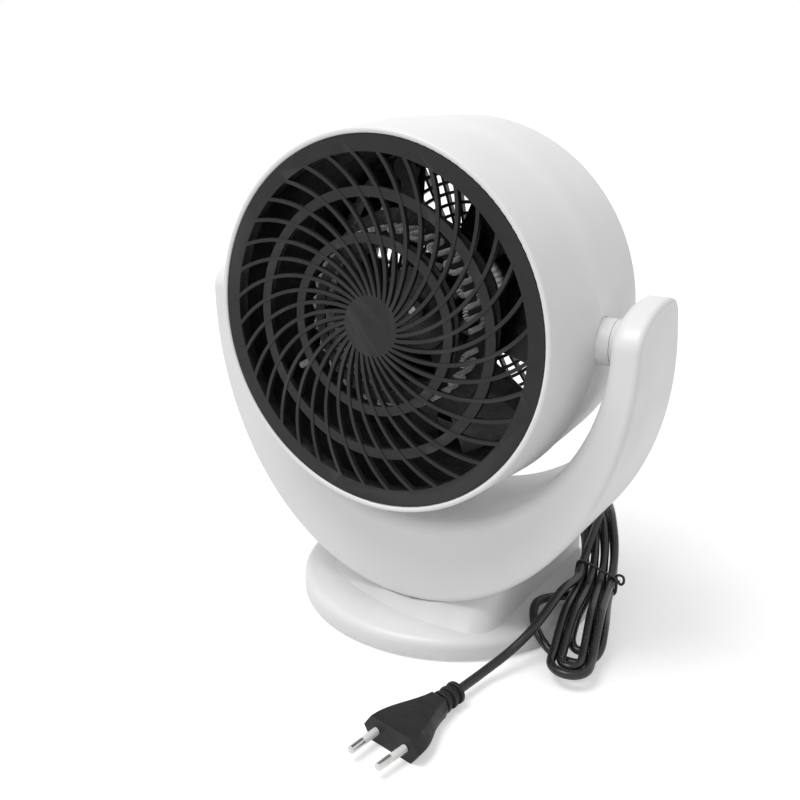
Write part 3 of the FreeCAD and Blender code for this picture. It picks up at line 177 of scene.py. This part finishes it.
def black_plastic():
    """Dark satin moulding with a spark-eroded grain and edges rubbed a little paler."""
    finish = Finish("black_plastic")
    cloud = finish.noise(0.03, 3.0)
    tone = finish.blend(finish.between(cloud, 0, 1), (0.011, 0.011, 0.0115), (0.016, 0.016, 0.0165))
    finish.colour(finish.blend(finish.edges(0.53, 0.62), tone, (0.030, 0.030, 0.031)))
    finish.roughness(finish.between(finish.noise(0.004, 4.0), 0.42, 0.56))
    finish.bump([(finish.noise(0.0006, 3.0), 0.00003)])
    finish.set(IOR=1.49, Specular_IOR_Level=0.3)
    return finish.material


def fan_plastic():
    """Glossier dark plastic, a little dusty towards the edges."""
    finish = Finish("fan_plastic")
    cloud = finish.noise(0.02, 4.0)
    tone = finish.blend(finish.between(cloud, 0, 1), (0.006, 0.006, 0.0065), (0.011, 0.011, 0.0115))
    finish.colour(finish.blend(finish.edges(0.52, 0.62), tone, (0.028, 0.028, 0.027)))
    finish.roughness(finish.between(finish.noise(0.006, 3.0), 0.22, 0.36))
    finish.bump([(finish.noise(0.0012, 2.0), 0.00002)])
    return finish.material


def duct_black_painted_shade():
    finish = Finish("duct_black_painted_shade")
    cloud = finish.noise(0.025, 3.0)
    # The duct is black plastic; its tone, near black and darker than the other black mouldings, is
    # painted shade inside the drum.
    finish.colour(finish.blend(finish.between(cloud, 0, 1), (0.003, 0.003, 0.003), (0.006, 0.006, 0.006)))
    finish.roughness(finish.between(finish.noise(0.005, 3.0), 0.55, 0.75))
    finish.set(Specular_IOR_Level=0.25)
    finish.bump([(finish.noise(0.0008, 2.0), 0.00003)])
    return finish.material


def grey_plastic():
    finish = Finish("grey_plastic")
    cloud = finish.noise(0.04, 3.0)
    finish.colour(finish.blend(finish.between(cloud, 0, 1), (0.16, 0.16, 0.165), (0.20, 0.20, 0.205)))
    finish.roughness(finish.between(finish.noise(0.004, 3.0), 0.45, 0.6))
    finish.bump([(finish.noise(0.0008, 3.0), 0.00004)])
    return finish.material


def cord_jacket():
    """Smooth black jacket: very slightly uneven, with faint scuffs."""
    finish = Finish("cord_jacket")
    scuff = finish.between(finish.noise(0.009, 4.0), 0, 1, 0.45, 0.75)
    finish.colour(finish.blend(scuff, (0.008, 0.008, 0.008), (0.013, 0.013, 0.0135)))
    finish.roughness(finish.between(finish.noise(0.012, 3.0), 0.24, 0.34))
    finish.bump([(finish.noise(0.008, 2.0), 0.00004), (finish.noise(0.0006, 2.0), 0.000006)])
    return finish.material


def foot_rubber():
    finish = Finish("foot_rubber")
    cloud = finish.noise(0.004, 4.0)
    finish.colour(finish.blend(finish.between(cloud, 0, 1), (0.02, 0.02, 0.02), (0.045, 0.045, 0.045)))
    finish.roughness(finish.between(finish.noise(0.002, 3.0), 0.75, 0.92))
    finish.bump([(finish.noise(0.0007, 3.0), 0.00008)])
    return finish.material


def metal(name, dark, light, low, high, grain=(1, 1, 1)):
    """Bare metal with a drawn grain, stained a little."""
    finish = Finish(name)
    stain = finish.noise(0.008, 4.0)
    finish.colour(finish.blend(finish.between(stain, 0, 1), dark, light))
    finish.roughness(finish.between(finish.noise(0.0015, 3.0, grain), low, high))
    finish.bump([(finish.noise(0.0006, 2.0, grain), 0.00001)])
    finish.set(Metallic=1.0)
    return finish.material


def heating_wire():
    """Pale oxidised wire, dull enough to show against the dark duct."""
    finish = Finish("heating_wire")
    stain = finish.noise(0.005, 4.0)
    finish.colour(finish.blend(finish.between(stain, 0, 1), (0.74, 0.73, 0.72), (0.92, 0.91, 0.90)))
    finish.roughness(finish.between(finish.noise(0.001, 3.0), 0.35, 0.55))
    finish.bump([(finish.noise(0.0006, 2.0), 0.00001)])
    finish.set(Metallic=0.2)
    return finish.material


def mica():
    """Dark flaky board with glints."""
    finish = Finish("mica")
    flakes = finish.cells(0.0025)
    glint = finish.between(flakes, 0, 1, 0.1, 0.6)
    finish.colour(finish.blend(glint, (0.006, 0.0058, 0.0055), (0.014, 0.0135, 0.013)))
    finish.roughness(finish.between(flakes, 0.25, 0.6, 0.0, 0.6))
    finish.bump([(flakes, 0.00006)])
    return finish.material


def pale_nylon():
    finish = Finish("pale_nylon")
    cloud = finish.noise(0.006, 3.0)
    finish.colour(finish.blend(finish.between(cloud, 0, 1), (0.76, 0.76, 0.75), (0.84, 0.84, 0.83)))
    finish.roughness(finish.between(finish.noise(0.002, 3.0), 0.34, 0.48))
    finish.bump([(finish.noise(0.0007, 2.0), 0.00002)])
    finish.set(Subsurface_Weight=0.15, Subsurface_Scale=0.001)
    return finish.material


def tie_wire():
    finish = Finish("tie_wire")
    cloud = finish.noise(0.003, 3.0)
    finish.colour(finish.blend(finish.between(cloud, 0, 1), (0.010, 0.010, 0.010), (0.020, 0.020, 0.020)))
    finish.roughness(finish.between(finish.noise(0.001, 3.0), 0.4, 0.6))
    finish.bump([(finish.noise(0.0009, 2.0), 0.00005)])
    return finish.material


def make_finishes():
    return {
        "white_plastic": white_plastic(),
        "black_plastic": black_plastic(),
        "fan_plastic": fan_plastic(),
        "duct_black_painted_shade": duct_black_painted_shade(),
        "grey_plastic": grey_plastic(),
        "cord_jacket": cord_jacket(),
        "foot_rubber": foot_rubber(),
        "black_steel": metal("black_steel", (0.018, 0.018, 0.018), (0.034, 0.033, 0.032), 0.45, 0.62),
        "iron": metal("iron", (0.10, 0.10, 0.10), (0.17, 0.16, 0.16), 0.5, 0.7),
        "steel": metal("steel", (0.50, 0.50, 0.50), (0.60, 0.60, 0.59), 0.24, 0.4, (1, 6, 1)),
        "heating_wire": heating_wire(),
        "brass": metal("brass", (0.56, 0.56, 0.55), (0.68, 0.68, 0.67), 0.18, 0.3, (1, 5, 1)),
        "mica": mica(),
        "pale_nylon": pale_nylon(),
        "tie_wire": tie_wire(),
    }


# Nodes that look different from the rest of their slot
OTHER_FINISH = {
    "fan_impeller": "fan_plastic",
    "fan_nut": "fan_plastic",
    "rear_grille": "fan_plastic",
    "air_duct": "duct_black_painted_shade",
    "heater_bracket": "black_steel",
    "heater_posts": "black_steel",
    "thermal_cutout": "black_steel",
}


def dress_nodes(finishes):
    """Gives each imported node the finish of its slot, or a closer one where it is named above."""
    for part in frame["record"]["subparts"]:
        name = part["node"]
        finish = OTHER_FINISH.get(name, part["material_slot"])
        mesh = nodes[name].data
        mesh.materials.clear()
        mesh.materials.append(finishes[finish])


# Cord: the lead from the gland, the hank and the lead to the plug, as one spline

CORD_DIAMETER = 5
GLAND_END = Vector((0, 114.5, 22))
LEAD_TURNS = [
    (0.5, 140, 17),
    (30, 146, 17),
    (47, 113, 27),
]
PLUG_LEAD_TURNS = [
    (87, -20, 31),
    (87, -40, 27.2),
    (84.5, -56, 20.5),
    (78, -69, 12),
    (71.8, -85, 7.4),
]
PLUG_FACE = Vector((59.5, -160.8, 6.85))
PLUG_YAW = -99
PLUG_LENGTH = 37
RELIEF_LENGTH = 16
RELIEF_RUN = 14
HANK_ENTRY = 18
HANK_EXIT = 7
HANK_PITCH = 5.8
HANK_LAYER = 7.1
HANK_CLIMB = 14
HANK_STEP = 4
HANK_PULL = 1.15
NUDGE = 0.001
HANK_FRONT = Vector((111, -62, 0))
HANK_YAW = 102.6
HANK_LENGTH = 160
HANK_WAIST = 76
HANK_NECK = 108
HANK_BEND_START = 82
HANK_BEND_RADIUS = 90
HANK_END_WIDTH = 14.6
HANK_FLOOR_GAP = 0.15
HANK_RAISE = 13.6
HANK_RISE = (6, 42)
HANK_LIFT = 22.7
HANK_LIFT_RANGE = (72, 122)
LOOSE_PLACE = 38
LOOSE_REACH = 29
LOOSE_LEVEL = 4.5
TIE_DIAMETER = 1.6
TIE_GAP = 0.1
TIE_TURN = (20, 400)
TIE_TAIL = [(1, 3.5), (4, 2.5), (4.2, -2), (1.6, -4), (0.8, -1)]
SPLINE_ORDER = 3
SPLINE_STEPS = 4
WIRE_SIDES = 5

Loop = namedtuple("Loop", "waist rear_right rear_left rear_turn level tip left right")


def heading(degrees):
    angle = math.radians(degrees)
    return Vector((math.cos(angle), math.sin(angle), 0))


def eased(start, end, place):
    share = min(max((place - start) / (end - start), 0.0), 1.0)
    return share * share * (3 - 2 * share)


def hank_place(along, side, level):
    """A point of the hank: along its axis, to the right of it, and up from its lowest layer.

    The hank rises from the floor over the edge of the base and bends to the left behind the yoke,
    where it lies on the deck.
    """
    back = heading(HANK_YAW)
    right = Vector((back.y, -back.x, 0))
    straight = min(along, HANK_BEND_START)
    turn = (along - straight) / HANK_BEND_RADIUS
    spoke = right * math.cos(turn) + back * math.sin(turn)
    height = CORD_DIAMETER / 2 + HANK_FLOOR_GAP + level
    height += eased(*HANK_RISE, along) * HANK_RAISE + HANK_LIFT * eased(*HANK_LIFT_RANGE, along)
    centre = HANK_FRONT + back * straight - right * HANK_BEND_RADIUS
    return centre + spoke * (HANK_BEND_RADIUS + side) + Vector((0, 0, height))


def hank_stops():
    """The hank's loops, as stops of (along, side, level, heading along, heading to the right)."""
    end = HANK_END_WIDTH
    turn = HANK_LENGTH - end
    near, far = HANK_PITCH / 2, 1.5 * HANK_PITCH
    inner = end - HANK_PITCH
    # Each loop's place at the waist, sides and turn at the rear, layer, and turn at the front
    loops = [
        Loop(far, end, end, 13.5, 0, 14, -14, 12),
        Loop(near, inner, inner, 6, 0, 21, -5, 6.2),
        Loop(near, inner - HANK_PITCH, inner, 14.5, HANK_LAYER, 1, -7, 4),
        Loop(far, end, end, 20, HANK_LAYER, -6, -12, 9),
    ]
    ends = [loop.rear_right for loop in loops[1:]] + [inner]
    stops = [(turn + end / 4, end + HANK_PITCH, 0, -1, 0)]
    below = 0
    for loop, rear_next in zip(loops, ends):
        level = loop.level
        fold = (loop.right - loop.left) / 2
        stops.append((turn, loop.rear_right, below, -1, 0))
        if level > below:
            stops.append((turn - HANK_CLIMB, loop.rear_right, level, -1, 0))
        stops.append((HANK_NECK, loop.waist, level, -1, 0))
        stops.append((HANK_WAIST, loop.waist, level, -1, 0))
        stops.append((loop.tip + fold, loop.right, level, -1, 0))
        stops.append((loop.tip, (loop.left + loop.right) / 2, level, 0, -1))
        if loop is loops[0]:
            stops.append((LOOSE_PLACE, -LOOSE_REACH, LOOSE_LEVEL, 1, 0))
        else:
            stops.append((loop.tip + fold, loop.left, level, 1, 0))
        stops.append((HANK_WAIST, -loop.waist, level, 1, 0))
        stops.append((HANK_NECK, -loop.waist, level, 1, 0))
        if loop is loops[-1]:
            level += HANK_LAYER
        stops.append((turn, -loop.rear_left, level, 1, 0))
        stops.append((turn + loop.rear_turn, (rear_next - loop.rear_left) / 2, level, 0, 1))
        below = level
    stops.append((turn, ends[-1], below, -1, 0))
    stops.append((HANK_WAIST, -far, 2 * HANK_LAYER, -1, 0))
    return stops


def between_stops(first, last, share):
    """A point of the hank between two stops, leaving and arriving along their headings."""
    pull = HANK_PULL * math.hypot(last[0] - first[0], last[1] - first[1])
    square, cube = share ** 2, share ** 3
    mixed = []
    for i in (0, 1):
        value = first[i] * (2 * cube - 3 * square + 1) + last[i] * (3 * square - 2 * cube)
        value += first[i + 3] * pull * (cube - 2 * square + share)
        value += last[i + 3] * pull * (cube - square)
        mixed.append(value)
    level = first[2] + (last[2] - first[2]) * eased(0, 1, share)
    return hank_place(mixed[0], mixed[1], level)


def hank_points():
    """The points of the hank's turns, in order, with the headings at its two ends."""
    stops = hank_stops()
    points = []
    for first, last in zip(stops, stops[1:]):
        count = max(2, round(math.dist(first[:2], last[:2]) / HANK_STEP))
        points += [between_stops(first, last, i / count) for i in range(count)]
    points.append(between_stops(*stops[-2:], 1.0))
    leaving = (between_stops(*stops[:2], NUDGE) - points[0]).normalized()
    arriving = (points[-1] - between_stops(*stops[-2:], 1 - NUDGE)).normalized()
    return points, leaving, arriving


def cord_route():
    points, leaving, arriving = hank_points()
    start = points[0] - leaving * CORD_DIAMETER
    end = points[-1] + arriving * CORD_DIAMETER
    out = heading(PLUG_YAW)
    relief_end = PLUG_FACE - out * (PLUG_LENGTH + RELIEF_LENGTH)
    route = [GLAND_END] + [Vector(p) for p in LEAD_TURNS]
    route += [start - leaving * HANK_ENTRY, start] + points + [end, end + arriving * HANK_EXIT]
    route += [Vector(p) for p in PLUG_LEAD_TURNS] + [relief_end - out * RELIEF_RUN, relief_end]
    return [p * MM for p in route]


def nurbs(name, points, diameter, sides=WIRE_SIDES, steps=SPLINE_STEPS):
    """A round wire along a smooth spline."""
    data = bpy.data.curves.new(name, "CURVE")
    data.dimensions = "3D"
    data.bevel_depth = diameter / 2
    data.bevel_resolution = sides
    data.resolution_u = steps
    data.use_fill_caps = True
    spline = data.splines.new("NURBS")
    spline.points.add(len(points) - 1)
    for target, point in zip(spline.points, points):
        target.co = (*point, 1.0)
    spline.order_u = SPLINE_ORDER
    spline.use_endpoint_u = True
    wire = bpy.data.objects.new(name, data)
    bpy.context.scene.collection.objects.link(wire)
    return wire


def tie_line():
    """The tie's wire across the hank at its waist, round the outer strands, with a looped end."""
    room = (CORD_DIAMETER + TIE_DIAMETER) / 2 + TIE_GAP
    far = 1.5 * HANK_PITCH
    slant = math.degrees(math.atan2(2 * far, HANK_LAYER))
    # The outer strands in order, with the angles between which the wire bends round each
    bends = [
        (far, HANK_LAYER, TIE_TURN[0], slant),
        (-far, 2 * HANK_LAYER, slant, 180),
        (-far, 0, 180, 270),
        (far, 0, 270, 360),
        (far, HANK_LAYER, 360, TIE_TURN[1]),
    ]
    line = []
    for side, level, start, end in bends:
        for angle in (start, (start + end) / 2, end):
            out = heading(angle) * room
            line.append((side + out.x, level + out.y))
    line += [(far + room + side, HANK_LAYER + level) for side, level in TIE_TAIL]
    step = 2 * TIE_DIAMETER / (len(line) - 1)
    return [hank_place(HANK_WAIST + step * i, *spot) * MM for i, spot in enumerate(line)]


def add_tie(finishes):
    tie = nurbs("wire_tie", tie_line(), TIE_DIAMETER * MM)
    tie.data.materials.append(finishes["tie_wire"])
    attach(tie, "stand")
    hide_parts("cord_tie")
    return tie


def add_cord(finishes):
    cord = nurbs("mains_cord", cord_route(), CORD_DIAMETER * MM)
    cord.data.materials.append(finishes["cord_jacket"])
    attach(cord, "stand")
    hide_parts("cord_lead", "cord_hank", "plug_lead")
    carried = ("cord_gland", "plug_relief", "plug_body", "plug_prongs", "plug_sleeves")
    [nodes[name] for name in carried] + [add_tie(finishes)]


# Heating wire: a fine helix along the runs of the heater's coil

COIL_LOOPS = 24
COIL_CIRCLE = 49 * MM
COIL_RADIUS = 1.35 * MM
COIL_FRONT = 15.2 * MM
COIL_REAR = 37 * MM
COIL_MARGIN = 1.8 * MM
WIRE_DIAMETER = 0.55 * MM
WIRE_PITCH = 1.35 * MM
WIRE_STEPS = 10
FINE_SIDES = 1
FINE_STEPS = 1


def coil_line():
    """Points along the middle of the coil: runs along the head's axis joined by half turns."""
    runs = 2 * COIL_LOOPS
    turn = COIL_CIRCLE * math.sin(math.pi / runs)
    front = COIL_FRONT + COIL_MARGIN + turn
    rear = COIL_REAR - COIL_MARGIN - turn
    spots = []
    for i in range(runs - 1):
        angle = 2 * math.pi * i / runs
        spots.append(Vector((COIL_CIRCLE * math.cos(angle), 0, COIL_CIRCLE * math.sin(angle))))
    line = []
    for i, spot in enumerate(spots):
        start, end = (front, rear) if i % 2 == 0 else (rear, front)
        line += [spot + Vector((0, start, 0)), spot + Vector((0, end, 0))]
        if i + 1 < len(spots):
            out = turn if end > start else -turn
            middle = (spot + spots[i + 1]) / 2
            side = (spot - spots[i + 1]) / 2
            for share in (0.25, 0.5, 0.75):
                bend = share * math.pi
                line.append(middle + side * math.cos(bend) + Vector((0, end + out * math.sin(bend), 0)))
    return [HEAD_FRONT + p for p in line]


def helix_about(line):
    """Points of a helix wound about a line."""
    points = []
    turned = 0.0
    for start, end in zip(line, line[1:]):
        along = end - start
        ahead = along.normalized()
        across = ahead.cross(HEAD_CENTRE - start).normalized()
        up = ahead.cross(across)
        count = max(1, round(along.length / WIRE_PITCH * WIRE_STEPS))
        for i in range(count):
            angle = 2 * math.pi * (turned + i / WIRE_STEPS)
            around = across * math.cos(angle) + up * math.sin(angle)
            points.append(start + along * (i / count) + around * COIL_RADIUS)
        turned += count / WIRE_STEPS
    return points


def add_heating_wire(finishes):
    points = helix_about(coil_line())
    wire = nurbs("heating_wire_helix", points, WIRE_DIAMETER, FINE_SIDES, FINE_STEPS)
    wire.data.materials.append(finishes["heating_wire"])
    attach(wire, "head")
    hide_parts("heater_coil")


# Edges: the nodes listed below get a small rounding where their faces meet

EDGE_WIDTHS = {
    "base_shell": 0.7,
    "yoke_shell": 0.6,
    "yoke_rear_cover": 0.3,
    "head_trunnions": 0.4,
    "front_grille": 0.7,
    "rear_grille": 0.3,
    "selector_knob": 0.6,
    "plug_body": 0.5,
    "plug_relief": 0.4,
    "cord_gland": 0.4,
}
EDGE_STEPS = 2
EDGE_ANGLE = 40
FLAT_ANGLE = 0.3
WELD_REACH = 0.01


def soften_edges():
    for name, width in EDGE_WIDTHS.items():
        node = nodes[name]
        weld = node.modifiers.new("weld", "WELD")
        weld.merge_threshold = WELD_REACH * MM
        merge = node.modifiers.new("merge", "DECIMATE")
        merge.decimate_type = "DISSOLVE"
        merge.angle_limit = math.radians(FLAT_ANGLE)
        bevel = node.modifiers.new("edges", "BEVEL")
        bevel.width = width * MM
        bevel.segments = EDGE_STEPS
        bevel.limit_method = "ANGLE"
        bevel.angle_limit = math.radians(EDGE_ANGLE)
        bevel.use_clamp_overlap = True
        bevel.harden_normals = True


# Floor, world and lamps

FLOOR_SIZE = 40.0
FLOOR_TONE = 0.80
FLOOR_ROUGHNESS = 0.9
FLOOR_GLOW = (0.41, 0.62)
FLOOR_GLOW_REACH = (0.30, 1.0)
WORLD_LIGHT = 0.54
KEY_PLACE = (-0.35, -0.70, 1.75)
KEY_SIZE = 1.0
KEY_POWER = 18
TARGET = Vector((0, -0.03, 0.15))


def seen_directly(tree):
    """1 for rays from the camera, mirrors and glass, otherwise 0."""
    path = tree.nodes.new("ShaderNodeLightPath")
    shares = [path.outputs[n] for n in ("Is Camera Ray", "Is Glossy Ray", "Is Transmission Ray")]
    total = shares[0]
    for share in shares[1:]:
        node = tree.nodes.new("ShaderNodeMath")
        node.operation = "MAXIMUM"
        tree.links.new(total, node.inputs[0])
        tree.links.new(share, node.inputs[1])
        total = node.outputs[0]
    return total


def add_floor():
    mesh = bpy.data.meshes.new("floor")
    half = FLOOR_SIZE / 2
    corners = [(-half, -half, 0), (half, -half, 0), (half, half, 0), (-half, half, 0)]
    mesh.from_pydata(corners, [], [(0, 1, 2, 3)])
    floor = bpy.data.objects.new("floor", mesh)
    bpy.context.scene.collection.objects.link(floor)
    material = bpy.data.materials.new("floor")
    material.use_nodes = True
    tree = material.node_tree
    shader = tree.nodes["Principled BSDF"]
    shader.inputs["Base Color"].default_value = (FLOOR_TONE, FLOOR_TONE, FLOOR_TONE, 1)
    shader.inputs["Roughness"].default_value = FLOOR_ROUGHNESS
    shader.inputs["Emission Color"].default_value = (1, 1, 1, 1)
    place = tree.nodes.new("ShaderNodeTexCoord").outputs["Object"]
    away = tree.nodes.new("ShaderNodeVectorMath")
    away.operation = "LENGTH"
    tree.links.new(place, away.inputs[0])
    level = tree.nodes.new("ShaderNodeMapRange")
    level.inputs["From Min"].default_value, level.inputs["From Max"].default_value = FLOOR_GLOW_REACH
    level.inputs["To Min"].default_value, level.inputs["To Max"].default_value = FLOOR_GLOW
    tree.links.new(away.outputs["Value"], level.inputs["Value"])
    glow = tree.nodes.new("ShaderNodeMath")
    glow.operation = "MULTIPLY"
    tree.links.new(seen_directly(tree), glow.inputs[0])
    tree.links.new(level.outputs["Result"], glow.inputs[1])
    tree.links.new(glow.outputs[0], shader.inputs["Emission Strength"])
    mesh.materials.append(material)


def add_world():
    world = bpy.data.worlds.new("studio")
    bpy.context.scene.world = world
    world.use_nodes = True
    tree = world.node_tree
    background = tree.nodes["Background"]
    background.inputs["Color"].default_value = (1, 1, 1, 1)
    level = tree.nodes.new("ShaderNodeMapRange")
    level.inputs["To Min"].default_value = WORLD_LIGHT
    level.inputs["To Max"].default_value = 1.0
    tree.links.new(seen_directly(tree), level.inputs["Value"])
    tree.links.new(level.outputs["Result"], background.inputs["Strength"])


def add_lamp(name, place, size, power):
    data = bpy.data.lights.new(name, "AREA")
    data.shape = "DISK"
    data.size = size
    data.energy = power
    lamp = bpy.data.objects.new(name, data)
    lamp.location = place
    lamp.rotation_euler = (TARGET - Vector(place)).to_track_quat("-Z", "Y").to_euler()
    bpy.context.scene.collection.objects.link(lamp)


bpy.context.scene.view_settings.view_transform = "Standard"
add_camera()
finishes = make_finishes()
dress_nodes(finishes)
add_cord(finishes)
add_heating_wire(finishes)
soften_edges()
add_floor()
add_world()
add_lamp("key", KEY_PLACE, KEY_SIZE, KEY_POWER)
